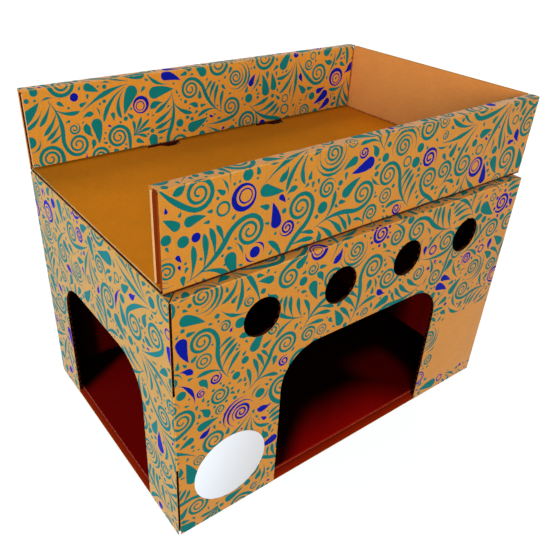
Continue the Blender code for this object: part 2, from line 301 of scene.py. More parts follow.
# %% Rolled-over walls
SIDE_CLEAR = BOARD + (ROLL - 3 * BOARD) / 2
INNER_W = TRAY_W - LAP
TAB_W, TAB_FOOT, TAB_CHAMFER = 41 * MM, 0.3 * MM, 4 * MM
INNER_FOOT = BOARD + 2.5 * MM
FOOT_SHADE = 4.2 * MM  # the height over which painted shade darkens the tray's walls towards their feet
INNER_SHADE = 4.5 * MM  # the same painted shade for the inner panels, above the deck where their tabs sit in the slots
TABS = (154 * MM, 310 * MM)
tabs = [(centre - TAB_W / 2, centre + TAB_W / 2) for centre in TABS]
edges = [-MM, *tabs[0], *tabs[1], INNER_W + MM]
low = TAB_FOOT + TAB_CHAMFER
tab_cuts = [box_hole(edges[i], -MM, edges[i + 1], INNER_FOOT) for i in (0, 2, 4)]
tab_cuts.append(box_hole(-MM, -MM, INNER_W + MM, TAB_FOOT))
for near, far in tabs:
    tab_cuts += [[(near - MM, -MM), (near + TAB_CHAMFER + MM, -MM), (near - MM, low + MM)],
                 [(far - TAB_CHAMFER - MM, -MM), (far + MM, -MM), (far + MM, low + MM)]]

both = {"foot": FOLD, "head": FOLD}
tray_right, tray_back = TRAY_LEFT + TRAY_W, TRAY_FRONT + TRAY_D
front_foot = Vector((TRAY_LEFT, TRAY_FRONT, DECK_FOOT))
back_foot = Vector((tray_right, tray_back, DECK_FOOT))
strip = dict(flutes="up", sheet="tray", lining="gap", core="gap")
inner_strip = dict(strip, core="raw_end", shaded=BOARD + INNER_SHADE)
back_strip = dict(strip, lining="core", core="plain_wall")
# Each wall's foot, its two directions, its inner panel's start, its looks, its panels' places on
# the sheet, and its cuts.
ROLLED = {
    "front": (front_foot, X, Y, INNER_W, strip, turned(TRAY_W, 0), turned(TRAY_W, -TRAY_H),
              moved(TRAY_W - INNER_W, -2 * TRAY_H - ROLL),
              [mirrored(cut, INNER_W) for cut in tab_cuts]),
    "back": (back_foot, -X, -Y, TRAY_W, back_strip, moved(0, TRAY_D), moved(0, TRAY_D + TRAY_H),
             turned(TRAY_W, TRAY_D + 2 * TRAY_H + ROLL), tab_cuts),
}
for side, (foot, across, inward, start, looks, outer, ridge, inner, cuts) in ROLLED.items():
    name = "tray_" + side
    add_panel(name + "_outer", "tray", foot, across, Z, (TRAY_W, TRAY_H), both,
              on_sheet=outer, shaded=FOOT_SHADE, **looks)
    add_panel(name + "_ridge", "tray", foot + TRAY_H * Z, across, inward, (TRAY_W, ROLL), both,
              on_sheet=ridge, **looks)
    add_panel(name + "_inner", "tray", foot + start * across + ROLL * inward, -across, Z,
              (INNER_W, TRAY_H), {"head": FOLD}, holes=cuts, on_sheet=inner, **inner_strip)
print("inner panel is", round(INNER_W / MM, 1), "mm long")

# %% Deck, right wall and corner flaps
SLOT_SIDE, SLOT_BEHIND, SLOT_AHEAD = 1 * MM, 0.5 * MM, 3 * MM
PRESSED = 7  # how far the tabs have torn the back slots towards the front, in mm
TORN = ((5, 0), (20, 0), (27, PRESSED), (1, PRESSED))  # the torn part's corners, in mm
slots = []
for centre in TABS:
    u0, u1 = (TRAY_W - centre + sign * (TAB_W / 2 + SLOT_SIDE) for sign in (-1, 1))
    near, far = ROLL - BOARD - SLOT_BEHIND, ROLL + SLOT_AHEAD
    slots += [box_hole(u0, near, u1, far), box_hole(u0, TRAY_D - far, u1, TRAY_D - near)]
    torn = TRAY_D - far - PRESSED * MM
    slots.append([(u0 + u * MM, torn + v * MM) for u, v in TORN])
add_panel("tray_deck", "tray", front_foot + TRAY_W * X, -X, Y, (TRAY_W, TRAY_D),
          {"left": FOLD, "foot": FOLD, "head": FOLD}, flutes="up", holes=slots, sheet="tray",
          on_sheet=Matrix.Identity(4), rims={"right": (0.0, RIM)})

length = TRAY_D - 2 * SIDE_CLEAR
shoulder = ROLL - SIDE_CLEAR + 0.3 * MM
notch = box_hole(-MM, TRAY_H - LAP, shoulder, TRAY_H + MM)
# The tray's right wall: its rims at the deck and at the rolled walls carry painted shade in the
# inner corners.
add_panel("tray_right_wall", "tray",
          Vector((tray_right, TRAY_FRONT + SIDE_CLEAR, DECK_FOOT)), Y, Z,
          (length, TRAY_H), {"foot": FOLD, "left": FOLD, "right": FOLD},
          holes=[notch, mirrored(notch, length)], sheet="tray", lining="plain_wall",
          rims={"foot": (BOARD, CORNER_SHADE), "right": (ROLL - SIDE_CLEAR, CORNER_SHADE)},
          on_sheet=moved(0, SIDE_CLEAR) @ spun(math.pi / 2))

FLAP_W, FLAP_TAPER, flap_foot = 62 * MM, 14 * MM, LAP
flap_h = TRAY_H - BOARD - 6 * MM - flap_foot
flap_cuts = tapers(FLAP_W, flap_h, FLAP_W - FLAP_TAPER, FLAP_TAPER, flap_h - 2 * FLAP_TAPER, MM)
flap_z = DECK_FOOT + flap_foot
add_panel("tray_corner_flap_front", "tray",
          Vector((tray_right - FLAP_W, TRAY_FRONT + SIDE_CLEAR, flap_z)), X, Z, (FLAP_W, flap_h),
          {"right": FOLD}, holes=[mirrored(cut, FLAP_W) for cut in flap_cuts])
add_panel("tray_corner_flap_back", "tray",
          Vector((tray_right, tray_back - SIDE_CLEAR, flap_z)), -X, Z, (FLAP_W, flap_h),
          {"left": FOLD}, holes=flap_cuts)
print("panels in all:", len(PANELS))

# %% [markdown]
# ## Punching and folding
#
# A hole is punched with bisect_plane: each side of its outline cuts the faces
# near it, and the faces inside are deleted. That keeps every face flat and
# convex. Folding moves each vertex that lies within a crease round an arc.

# %% Punch a hole
MERGE, TOUCH = 1e-7, 1e-6  # how near two points are one, and how near a face is touched


def bisect(bm, spot, normal, geom=None, clear=False):
    geom = geom or bm.verts[:] + bm.edges[:] + bm.faces[:]
    return bmesh.ops.bisect_plane(bm, geom=geom, dist=MERGE, plane_co=(*spot, 0),
                                  plane_no=normal, clear_outer=clear)["geom"]


def edges_of(hole):
    return zip(hole, hole[1:] + hole[:1])


def touched(faces, points, reach=0.0):
    """The faces whose boxes overlap the box round some points."""
    us, vs = zip(*points)
    low_u, high_u = min(us) - reach, max(us) + reach
    low_v, high_v = min(vs) - reach, max(vs) + reach
    found = []
    for face in faces:
        us, vs = [vert.co.x for vert in face.verts], [vert.co.y for vert in face.verts]
        if max(us) > low_u and min(us) < high_u and max(vs) > low_v and min(vs) < high_v:
            found.append(face)
    return found


def inside(point, hole):
    return all((u1 - u0) * (point.y - v0) - (v1 - v0) * (point.x - u0) >= 0
               for (u0, v0), (u1, v1) in edges_of(hole))


def punch(bm, hole):
    near = touched(bm.faces, hole)
    for start, end in edges_of(hole):
        crossed = touched(near, (start, end), TOUCH)
        if crossed:
            geom = {item for face in crossed for item in (face, *face.edges, *face.verts)}
            side = Vector((end[1] - start[1], start[0] - end[0], 0))
            parts, known = bisect(bm, start, side.normalized(), list(geom)), set(near)
            near += [part for part in parts
                     if isinstance(part, bmesh.types.BMFace) and part not in known]
    gone = [face for face in near if inside(face.calc_center_median(), hole)]
    bmesh.ops.delete(bm, geom=gone, context="FACES")


print("punching a doorway takes", len(FRONT_DOOR), "cuts")

# %% Trim, score and fold a flat sheet
ARC_CUTS = (0.25, 0.5, 0.75, 1.0)


def trim(bm, limits):
    low, high = limits[:2], limits[2:]
    for spot, normal in ((low, -X), (low, -Y), (high, X), (high, Y)):
        bisect(bm, spot, normal, clear=True)


def score_line(bm, panel, side, inset):
    width, height = panel.size
    spot = {"left": (inset, 0), "right": (width - inset, 0),
            "foot": (0, inset), "head": (0, height - inset)}[side]
    bisect(bm, spot, X if side in ("left", "right") else Y)


def score(bm, panel):
    """Add the edges that a crease's arc needs."""
    for side, radius in panel.folds.items():
        for part in ARC_CUTS:
            score_line(bm, panel, side, radius * (HALF_ARC + (1 - HALF_ARC) * part))
    if panel.shaded:
        score_line(bm, panel, "foot", panel.shaded)


def roll(along, height, radius):
    """Roll a point round a crease: its distance from the corner, and its height over the face."""
    if along >= radius:
        return along, height
    angle, arm = (radius - along) / radius, radius + height
    return radius - arm * math.sin(angle), arm * math.cos(angle) - radius


def fold(bm, panel, depth, creased=True, rim_bruise_and_shade=False):
    """Roll the panel's edges, mark its creases, rims and shaded foot, and set it in place."""
    width, height = panel.size
    crease = bm.verts.layers.float.get("crease") or bm.verts.layers.float.new("crease")
    folds = panel.folds if creased else {}
    marks = [(side, 0.0, radius) for side, radius in folds.items()]
    # Rims carry a knife's bruise on most panels, and painted shade on the tray's inner corners.
    if rim_bruise_and_shade:
        marks += [(side, *reach) for side, reach in panel.rims.items()]
    for vert in bm.verts:
        u, v, w = vert.co.x, vert.co.y, vert.co.z - depth
        flat = any(low < v < high for low, high in panel.uncreased)
        room = {"left": u, "right": width - u, "foot": v, "head": height - v}
        nearness = [1 - (room[side] - start) / reach for side, start, reach in marks]
        vert[crease] = max([0.0] + nearness)
        if creased and v < panel.shaded:
            vert[crease] = v / panel.shaded - 1  # a mark below 0 stands for painted shade
        if "left" in folds:
            u, w = roll(u, w, folds["left"])
        if "right" in folds and not flat:
            rest, w = roll(width - u, w, folds["right"])
            u = width - rest
        if "foot" in folds:
            v, w = roll(v, w, folds["foot"])
        if "head" in folds:
            rest, w = roll(height - v, w, folds["head"])
            v = height - rest
        vert.co = panel.place @ Vector((u, v, w))
    bm.normal_update()


print("each crease gets", len(ARC_CUTS), "scored lines")

# %% [markdown]
# ## The three papers of the board
#
# A sheet starts as one grid. The wave has many rows, each lifted by a sine, so
# it keeps its shape where a hole cuts through it. Solidify gives thickness.

# %% The papers
GRID = (12, 8)  # faces of a flat paper along U and V
WAVE_CROSS = 4  # faces of the wave along its flutes


def flat_sheet(limits, columns, rows):
    u0, v0, u1, v1 = limits
    bm = bmesh.new()
    bmesh.ops.create_grid(bm, x_segments=columns, y_segments=rows, size=0.5)
    bmesh.ops.scale(bm, vec=(u1 - u0, v1 - v0, 1), verts=bm.verts)
    bmesh.ops.translate(bm, vec=((u0 + u1) / 2, (v0 + v1) / 2, 0), verts=bm.verts)
    return bm


def crease_trims(panel, inset):
    """At the front left corner only the crease's own stretch stops short of the corner."""
    if not panel.uncreased:
        return []
    return [box_hole(panel.size[0] - inset, CUT_BELOW, panel.size[0] + MM, CUT_ABOVE)]


def paper_limits(panel, depth):
    limits = panel.limits(depth)
    return (*limits[:2], panel.size[0] - CUT_RECESS, limits[3]) if panel.uncreased else limits


def thickened(bm, thickness):
    bmesh.ops.solidify(bm, geom=bm.faces[:], thickness=thickness)
    return bm


def as_mesh(bm, name):
    mesh = bpy.data.meshes.new(name)
    bm.to_mesh(mesh)
    bm.free()
    return mesh


def as_object(name, data):
    obj = bpy.data.objects.new(name, data)
    bpy.context.scene.collection.objects.link(obj)
    return obj


def face_sheet(bm, panel, depth, thickness):
    """Take a flat sheet of the printed face through all the steps."""
    for hole in panel.face_holes + crease_trims(panel, FOLD * HALF_ARC):
        punch(bm, hole)
    score(bm, panel)
    fold(bm, panel, depth)
    return thickened(bm, thickness)


def outer_paper(panel):
    return face_sheet(flat_sheet(paper_limits(panel, 0), *GRID), panel, FACE_DEPTH, PAPER)


def inner_paper(panel):
    """The inner paper. On a bottom flange it dips towards the crease, where it is pressed flat."""
    limits, depth = list(paper_limits(panel, BOARD)), BOARD - PAPER - FACE_DEPTH
    dips = panel.lining == "sill"
    if dips:
        limits[1] = BASE_FOLD
    bm = flat_sheet(limits, *GRID)
    for hole in panel.holes + crease_trims(panel, BOARD):
        punch(bm, hole)
    for side, (start, reach) in panel.rims.items():
        for part in (0.5, 1.0):
            score_line(bm, panel, side, start + reach * part)
    if dips:
        score_line(bm, panel, "foot", BOARD)
        for vert in bm.verts:
            dip = 1 - (vert.co.y - BASE_FOLD) / (BOARD - BASE_FOLD)
            vert.co.z = (depth - 2 * PAPER) * max(0.0, dip)
    fold(bm, panel, depth, creased=False, rim_bruise_and_shade=True)
    return thickened(bm, PAPER)


def wave_paper(panel):
    """The wave. It is counted along the world's axes, so that boards that lie together match."""
    u0, v0, u1, v1 = paper_limits(panel, BOARD)
    limits = (u0 + WAVE_SHORT, v0 + WAVE_SHORT, u1 - WAVE_SHORT, v1 - WAVE_SHORT)
    up = panel.flutes == "up"
    span = limits[2] - limits[0] if up else limits[3] - limits[1]
    rows = round(span / WAVE_PITCH * WAVE_STEPS)
    bm = flat_sheet(limits, *((rows, WAVE_CROSS) if up else (WAVE_CROSS, rows)))
    for hole in panel.holes + crease_trims(panel, BOARD):
        punch(bm, hole)
    across, normal = panel.place.to_3x3().col[0], panel.place.to_3x3().col[2]
    trough = -1 if normal.z - normal.y > 0 else 1
    for vert in bm.verts:
        along = vert.co.y
        if up:
            along = vert.co.x if across.x > 0 else panel.size[0] - vert.co.x
        wave = trough * math.cos(2 * math.pi * along / WAVE_PITCH)
        vert.co.z = WAVE_HEIGHT / 2 * wave + WAVE_PAPER / 2
    fold(bm, panel, BOARD / 2, creased=False)
    return thickened(bm, WAVE_PAPER)


for make in (outer_paper, inner_paper, wave_paper):
    trial = make(PANELS["front_wall"])
    print(make.__name__, "has", len(trial.faces), "faces")
    trial.free()

# %% [markdown]
# ## Materials
#
# Kraft paper is a mat of brown fibres: fine specks, soft clouds, and streaks
# along the machine that made it. Faint lines show where it sinks over the
# flutes. A small class lets shader maths be written as formulas.

# %% A socket that Python can calculate with
def plug(socket, value):
    """Set a socket to a value, or link it to a wire."""
    if isinstance(value, Wire):
        value.tree.links.new(value.socket, socket)
    else:
        socket.default_value = value


class Wire:
    """A shader socket. Arithmetic on it adds the Math node that does the sum."""

    def __init__(self, tree, socket):
        self.tree, self.socket = tree, socket

    def math(self, operation, *values):
        return self.node("ShaderNodeMath", {"operation": operation}, *values)

    def node(self, kind, settings=None, *values, **named):
        """Add a node: its settings, then the values or wires of its inputs in order or by name."""
        node = self.tree.nodes.new(kind)
        for key, value in (settings or {}).items():
            setattr(node, key, value)
        inputs = list(zip([socket for socket in node.inputs if socket.enabled], values))
        inputs += [(node.inputs[name], value) for name, value in named.items()]
        for socket, value in inputs:
            plug(socket, value)
        return Wire(self.tree, [socket for socket in node.outputs if socket.enabled][0])

    def __add__(self, other):
        return self.math("ADD", self, other)

    def __sub__(self, other):
        return self.math("SUBTRACT", self, other)

    def __rsub__(self, other):
        return self.math("SUBTRACT", other, self)

    def __mul__(self, other):
        return self.math("MULTIPLY", self, other)

    __radd__, __rmul__ = __add__, __mul__

    def between(self, low, high):
        """0 below low, 1 above high, and a smooth step between."""
        return self.node("ShaderNodeMapRange", {"interpolation_type": "SMOOTHSTEP"},
                         self, low, high, 0.0, 1.0)

    def mix(self, first, second):
        """The first colour where this is 0, the second where it is 1."""
        return self.node("ShaderNodeMix", {"data_type": "RGBA"}, self, first, second)


def new_material(name, roughness, specular=0.3):
    material = bpy.data.materials.new(name)
    material.use_nodes = True
    inputs = material.node_tree.nodes["Principled BSDF"].inputs
    plug(inputs["Roughness"], roughness)
    plug(inputs["Specular IOR Level"], specular)
    coords = material.node_tree.nodes.new("ShaderNodeTexCoord")
    return material, inputs, Wire(material.node_tree, coords.outputs["Object"])


def tint(colour, factor):
    return (*(min(1.0, channel * factor) for channel in colour), 1.0)


print("operators on a Wire:", "+ - *")

# %% Kraft paper
PRINTED_KRAFT = (0.7, 0.27, 0.03)
RAW_FIBRE = (0.8, 0.42, 0.15, 1)
# the painted shade at the foot of the tray's walls, and on the tabs in the deck's slots
SHADE = (0.04, 0.004, 0.001, 1)
JAMB_X, JAMB_SLANT = 0.12, 1.25  # the line of the painted shadow of the front doorway's left jamb
PATCH_Y, PATCH_SLANT = 0.231, 0.54  # the back edge of the painted daylight patch behind the left doorway
# how strong parts of the painted daylight are: the front patch's dimming to the right, the streak,
# the patch behind the left doorway, and the one on the back wall
FAR_SHARE, STREAK_SHARE, PATCH_SHARE, BACK_SHARE = 0.75, 0.2, 0.52, 0.05


def noise(place, scale, detail=3.0):
    """A noise pattern that averages 0."""
    return place.node("ShaderNodeTexNoise", None, place, scale, detail, 0.55) - 0.5


def aged(place, sound, wear_and_rim_shade, low, high):
    """A colour rubbed to the fibres along a crease, with painted shade at a foot. Along a rim it
    takes the given colour: a knife's bruise, or painted shade in the tray's inner corners.
    """
    crease = place.node("ShaderNodeAttribute", {"attribute_name": "crease"})
    rubbed_and_rim_shaded = (crease + 0.9 * noise(place, 300.0, 4.0) + 0.5 * noise(place, 60.0)).between(low, high)
    return (0 - crease).between(0.15, 0.45).mix(rubbed_and_rim_shaded.mix(sound, wear_and_rim_shade), SHADE)


def floor_daylight(x, y, z):
    """Painted daylight by the front doorway, between its jambs' slanted painted shadows, and by the
    left one.

    All places are in metres from the house's front left corner.
    """
    jambs = (x - JAMB_X - JAMB_SLANT * y).between(-0.005, 0.035)
    jambs = jambs * (1 - FAR_SHARE * x.between(0.27, 0.35))
    near = jambs * (1 - y.between(0.0, 0.072))
    streak = STREAK_SHARE * x.between(0.29, 0.33) * (1 - y.between(0.07, 0.11))
    at_front = near.math("MAXIMUM", near, streak) * (1 - x.between(0.355, 0.385))
    behind = (PATCH_Y + PATCH_SLANT * x - y).between(-0.01, 0.01)
    at_left = (1 - x.between(0.05, 0.16)) * behind
    return y.math("MAXIMUM", at_front, PATCH_SHARE * at_left)


def wall_daylight(x, y, z):
    """Painted daylight on the cabin's walls: a patch of the back one and the near end of the right
    one.
    """
    on_back = x.between(0.044, 0.056) * (1 - x.between(0.14, 0.2)) * y.between(0.27, 0.29)
    near = 1 - y.between(0.055, 0.15)
    on_right = near * near * x.between(0.42, 0.44) * (1 - z.between(0.06, 0.11))
    return x.math("MAXIMUM", BACK_SHARE * on_back * z.between(0.0, 0.014), on_right)


def bump(place, strength, distance, height):
    return place.node("ShaderNodeBump", None, Strength=strength, Distance=distance, Height=height)


def kraft(name, flute_axis, colour, roughness=0.8, specular=0.03, sheen=0.0, wear_and_rim_shade=RAW_FIBRE,
          daylight=None, dark=None):
    """Kraft paper glued over flutes that run along an axis of the world: 0, 1 or 2."""
    material, inputs, place = new_material(name, roughness, specular)
    plug(inputs["Sheen Weight"], sheen)
    plug(inputs["Sheen Roughness"], 0.35)
    plug(inputs["Sheen Tint"], (0.75, 0.95, 1.0, 1))
    stretch = tuple(0.1 if axis == flute_axis else 1.0 for axis in range(3))
    along = place.node("ShaderNodeVectorMath", {"operation": "MULTIPLY"}, place, stretch)
    streak, speck, cloud = noise(along, 900.0), noise(place, 1500.0, 2.0), noise(place, 26.0, 4.0)
    shade = 0.5 + 0.35 * cloud + 0.5 * streak + 0.5 * speck
    sound = shade.mix(tint(colour, 0.7), tint(colour, 1.3))
    split = place.node("ShaderNodeSeparateXYZ", None, place).socket.node
    xyz = [Wire(place.tree, axis) for axis in split.outputs]
    # On the cabin's lining the daylight mask mixes painted daylight with painted shade (dark).
    if daylight:
        sound = daylight(xyz[0] - LEFT, xyz[1] - FRONT, xyz[2]).mix((*dark, 1), sound)
    plug(inputs["Base Color"], aged(place, sound, wear_and_rim_shade, 0.45, 0.95))
    ribs = 0.0
    for axis in {0, 1, 2} - {flute_axis}:
        phase = xyz[axis] * (2 * math.pi / WAVE_PITCH)
        ribs = phase.math("SINE", phase) + ribs
    height = ribs * 0.06 + streak * 0.15 + speck * 0.1
    plug(inputs["Normal"], bump(place, 0.5, 0.5 * MM, height))
    return material


FINISHES = {
    "printed": dict(colour=PRINTED_KRAFT, roughness=0.38, specular=0.16, sheen=0.14),
    "plain": dict(colour=(0.62, 0.19, 0.006), roughness=0.75, specular=0.12),
    # plain_wall: its dark red rim colour is painted shade along the tray's inner corners.
    "plain_wall": dict(colour=(0.7, 0.218, 0.042), roughness=0.7, specular=0.12,
                       wear_and_rim_shade=(0.3, 0.04, 0.006, 1)),
    # The cabin's walls: red where painted daylight falls, near black in painted shade.
    "cabin": dict(colour=(0.95, 0.0052, 0.0034), daylight=wall_daylight,
                  dark=(0.005, 0.0003, 0.0002)),
    # The floor: the same painted daylight and painted shade; its cut edge's light line is dimmed to
    # go with them.
    "floor": dict(colour=(0.42, 0.0028, 0.0016), daylight=floor_daylight,
                  dark=(0.003, 0.0002, 0.0002), wear_and_rim_shade=(0.6, 0.12, 0.08, 1)),
    # The bottom flanges' inner paper and wave, and the floor panel's wave: dark red, painted shade
    # low in the house.
    "sill": dict(colour=(0.26, 0.012, 0.001)),
    # Inner paper and wave inside the tray's rolled walls: dark red, painted shade of the gap there.
    "gap": dict(colour=(0.26, 0.035, 0.003), specular=0.05),
    # The wave of most panels, and the inner paper inside the tray's rolled back walls: near black,
    # painted shade in the flutes and the gap, in place of brown paper.
    "core": dict(colour=(0.045, 0.009, 0.003), roughness=0.85, specular=0.1),
    "raw_end": dict(colour=(0.7, 0.34, 0.14), specular=0.1),
}
PAPERS = {}


def paper(kind, flute_axis):
    key = kind + "_kraft_" + "xyz"[flute_axis]
    if key not in PAPERS:
        PAPERS[key] = kraft(key, flute_axis, **FINISHES[kind])
    return PAPERS[key]


def board_papers(panel):
    """The outer, inner and wave materials of one panel."""
    axes = panel.place.to_3x3()
    run = axes.col[0] if panel.flutes == "across" else axes.col[1]
    flute_axis = max(range(3), key=lambda i: abs(run[i]))
    outside = panel.lining if panel.sheet is None else "printed"
    return [paper(kind, flute_axis) for kind in (outside, panel.lining, panel.core)]


print("front wall:", [made.name for made in board_papers(PANELS["front_wall"])])

# %% Inks and sticker paper
def ink_material(name, colour):
    """Matt ink that soaks in unevenly, so its depth of colour varies."""
    material, inputs, place = new_material(name, 0.6, 0.1)
    shade = 0.5 + 0.8 * noise(place, 120.0, 4.0) + 0.6 * noise(place, 1400.0, 2.0)
    sound = shade.mix(tint(colour, 0.8), tint(colour, 1.2))
    # Like the paper under it, the ink takes painted shade at a foot.
    plug(inputs["Base Color"], aged(place, sound, tint(PRINTED_KRAFT, 1.05), 0.55, 0.8))
    return material


INKS = {"teal": ink_material("teal_ink", (0.004, 0.172, 0.155)),
        "blue": ink_material("blue_ink", (0.002, 0.009, 0.31))}
STICKER, inputs, place = new_material("sticker_paper", 0.35)
shade = 0.5 + 0.8 * noise(place, 40.0, 3.0) + 0.5 * noise(place, 1600.0, 2.0)
plug(inputs["Base Color"], shade.mix((0.9, 0.92, 0.96, 1), (0.95, 0.96, 0.99, 1)))
plug(inputs["Normal"], bump(place, 0.2, 0.1 * MM, noise(place, 1800.0, 2.0)))
print("inks:", list(INKS))

# %% [markdown]
# ## Ornament
#
# The print is scrollwork: spirals, leaf fans, drops, rings and dots. Each
# motif is drawn once. A brush stroke is a short edge that is extruded along a
# turning path, wide in the middle and fine at its tips.

# %% A brush stroke
LAYER = 0.002 * MM  # how far each part of a motif lies above the part before it
PEN_STEP = 3.2  # length of a step of the brush, in mm
TURN_STEPS = 18  # steps in a full turn of a spiral
BULB = 1.3  # how much wider than its stroke a curl's bulb is


def bend(length, degrees):
    """A path of (turn, step) pairs, so many millimetres long, that turns by so many degrees."""
    count = max(7, round(length / PEN_STEP))
    return [(math.radians(degrees) / count, length * MM / count)] * count


def spiral(outer, inner, turns):
    """A path that winds inwards, its radius shrinking evenly."""
    count = round(turns * TURN_STEPS)
    radii = [(outer + (inner - outer) * i / (count - 1)) * MM for i in range(count)]
    return [(2 * math.pi / TURN_STEPS, radius * 2 * math.pi / TURN_STEPS) for radius in radii]


def swell(full, start, end, peak):
    """Widest at the peak of the way, and narrowing to both ends."""
    def width(t):
        if t < peak:
            rise = t / peak
            return full * MM * (start + (1 - start) * (rise * rise * (3 - 2 * rise)))
        return full * MM * (end + (1 - end) * ((1 - t) / (1 - peak)) ** 1.5)
    return width


def lens(full):
    """Widest in the middle, and fine at both ends."""
    return swell(full, 0.06, 0.06, 0.5)


def leaf(full, peak=0.66):
    """Fine at its root, and round at its end."""
    def width(t):
        if t < peak:
            return full * MM * (0.08 + 0.92 * (t / peak) ** 1.3)
        return full * MM * math.sqrt(max(0.01, 1 - ((t - peak) / (1.001 - peak)) ** 2))
    return width


def at(x=0.0, y=0.0, degrees=0.0):
    """A pen set down at a point, in millimetres, and heading somewhere."""
    return moved(x * MM, y * MM) @ spun(math.radians(degrees))


class Motif:
    """One motif while it is drawn. Each part lies a hair above the part before it."""

    def __init__(self):
        self.bm, self.height = bmesh.new(), 0.0

    def lift(self, verts):
        for vert in verts:
            vert.co.z = self.height
        self.height += LAYER

    def stroke(self, path, width, pen=at()):
        """Push an edge along a path. Gives back the pen at each of its steps."""
        half, pens = width(0) / 2, [pen]
        ends = [self.bm.verts.new(pen @ Vector((0, side * half, 0))) for side in (-1, 1)]
        edge, verts = self.bm.edges.new(ends), set(ends)
        for i, (turn, step) in enumerate(path, 1):
            back, lean = pen.inverted(), spun(turn / 2)
            pen = pen @ lean @ moved(step, 0) @ lean
            made = bmesh.ops.extrude_edge_only(self.bm, edges=[edge])["geom"]
            edge = next(item for item in made if isinstance(item, bmesh.types.BMEdge))
            half = width(i / len(path)) / 2
            for vert in edge.verts:
                side = 1 if (back @ vert.co).y > 0 else -1
                vert.co = pen @ Vector((0, side * half, 0))
            verts |= set(edge.verts)
            pens.append(pen)
        self.lift(verts)
        return pens

    def curl(self, path, width, pen=at()):
        """A stroke that ends in a round bulb."""
        pens = self.stroke(path, width, pen)
        self.dot(width(1) / 2 / MM * BULB, pens[-1], 10)
        return pens

    def dot(self, radius, pen=at(), segments=16):
        made = bmesh.ops.create_circle(self.bm, cap_ends=True, segments=segments,
                                       radius=radius * MM, matrix=pen)["verts"]
        self.lift(made)
        return made

    def drop(self, radius, length, aside, pen=at()):
        """A circle drawn out to a point, which curves aside."""
        back, stretch = pen.inverted(), (length - radius) / radius
        for vert in self.dot(radius, pen, 24):
            x, y, z = back @ vert.co
            if x > 0:
                reach = min(1.0, x / (radius * MM))
                y = y * (1 - reach) ** 0.42 + aside * reach ** 2 * length * MM
                vert.co = pen @ Vector((x * stretch, y, z))

    def ring(self, radius, stroke, shift=0.0, pen=at()):
        """A circle with its middle cut out; a shifted middle makes a crescent."""
        face = self.dot(radius, pen, 26)[0].link_faces[0]
        bmesh.ops.inset_region(self.bm, faces=[face], thickness=stroke * MM, use_boundary=True)
        bmesh.ops.translate(self.bm, vec=(shift * MM, 0, 0), verts=face.verts)
        bmesh.ops.delete(self.bm, geom=[face], context="FACES_ONLY")


MOTIFS = {}


def motif(name, draw, *sizes):
    """Draw a motif and its mirror image, and keep both with the points that they cover."""
    for hand, flip in (("", 1), ("_mirrored", -1)):
        drawn = Motif()
        draw(drawn, *sizes)
        bm = drawn.bm
        bmesh.ops.scale(bm, vec=(1, flip, 1), verts=bm.verts)
        middle = sum((vert.co for vert in bm.verts), Vector()) / len(bm.verts)
        bmesh.ops.translate(bm, vec=(-middle.x, -middle.y, 0), verts=bm.verts)
        bm.normal_update()
        bmesh.ops.reverse_faces(bm, faces=[face for face in bm.faces if face.normal.z < 0])
        points = []
        for face in bm.faces:
            heart = face.calc_center_median()
            points += [heart.lerp(vert.co, part) for vert in face.verts for part in (0.5, 1.0)]
            points.append(heart)
        points = np.array([point[:2] for point in points])
        MOTIFS[name + hand] = (as_mesh(bm, name + hand), points)


print("motifs are drawn once and stamped many times")

# %% Plumes and scrolls
def draw_plume(ink):
    """A long stroke that ends in a spiral, with leaves on its outer side."""
    path = bend(48, -44) + bend(22, 48) + spiral(13.5, 2.4, 2.0)
    pens = ink.curl(path, swell(5.4, 0.1, 0.36, 0.22))
    leaves = (1, 30, -50, 5.4), (5, 32, -42, 5.6), (9, 28, -40, 5.2), (13, 20, -40, 4.4)
    for i, length, lean, full in leaves:
        ink.stroke(bend(length, -32), leaf(full), pens[i] @ at(degrees=lean))
    ink.stroke(bend(32, 56), leaf(5.4), pens[4] @ at(degrees=24))


def draw_wave(ink):
    """Nested strokes that part like a wave, the longest with a curl."""
    ink.curl(bend(48, 26) + spiral(15, 2.4, 2.1), swell(5.4, 0.1, 0.36, 0.22))
    ink.stroke(bend(62, -34), swell(5.8, 0.1, 0.1, 0.5), at(0, -3.6, -14))
    ink.stroke(bend(48, -56), leaf(5.4), at(3, -7.0, -32))
    ink.stroke(bend(35, -80), leaf(5.2), at(4, -10.4, -50))
    ink.drop(4.6, 19, 0.1, at(48, -8, 192))


def draw_twin(ink):
    """One stroke with a spiral at each end, and a leaf on its back."""
    for side in (0, 180):
        ink.curl(bend(18, 20) + spiral(12, 2.2, 1.9), swell(4.6, 1.0, 0.42, 0.05), at(degrees=side))
    ink.drop(4.8, 19, 0.1, at(0, -9, 20))


def draw_echo(ink):
    """A spiral with two arcs that follow it outside."""
    ink.curl(spiral(11, 2.0, 2.2), swell(2.9, 0.2, 0.65, 0.2))
    ink.stroke(spiral(15.8, 15.6, 0.62), lens(3.6), at(-6, -4.4, -22))
    ink.stroke(spiral(20.4, 20.2, 0.4), lens(3.4), at(3, -10, 8))


def draw_scroll(ink):
    pens = ink.curl(bend(44, 34) + spiral(14, 2.2, 2.2), swell(4.8, 0.08, 0.4, 0.24))
    ink.stroke(bend(26, -64), leaf(5.0), pens[5] @ at(degrees=-26))


def draw_short_scroll(ink):
    pens = ink.curl(bend(18, 24) + spiral(10.8, 2.0, 1.9), swell(3.9, 0.08, 0.5, 0.2))
    ink.stroke(bend(20, -60), leaf(4.8), pens[3] @ at(degrees=-30))


def draw_spray(ink):
    """Five blades that open from one root."""
    for lean, length in ((-52, 24), (-24, 31), (0, 35), (24, 31), (52, 24)):
        ink.stroke(bend(length, lean * 0.9), leaf(5.4), at(degrees=lean * 0.55))


print("a plume's stem takes", len(bend(48, -44)), "steps of the brush")

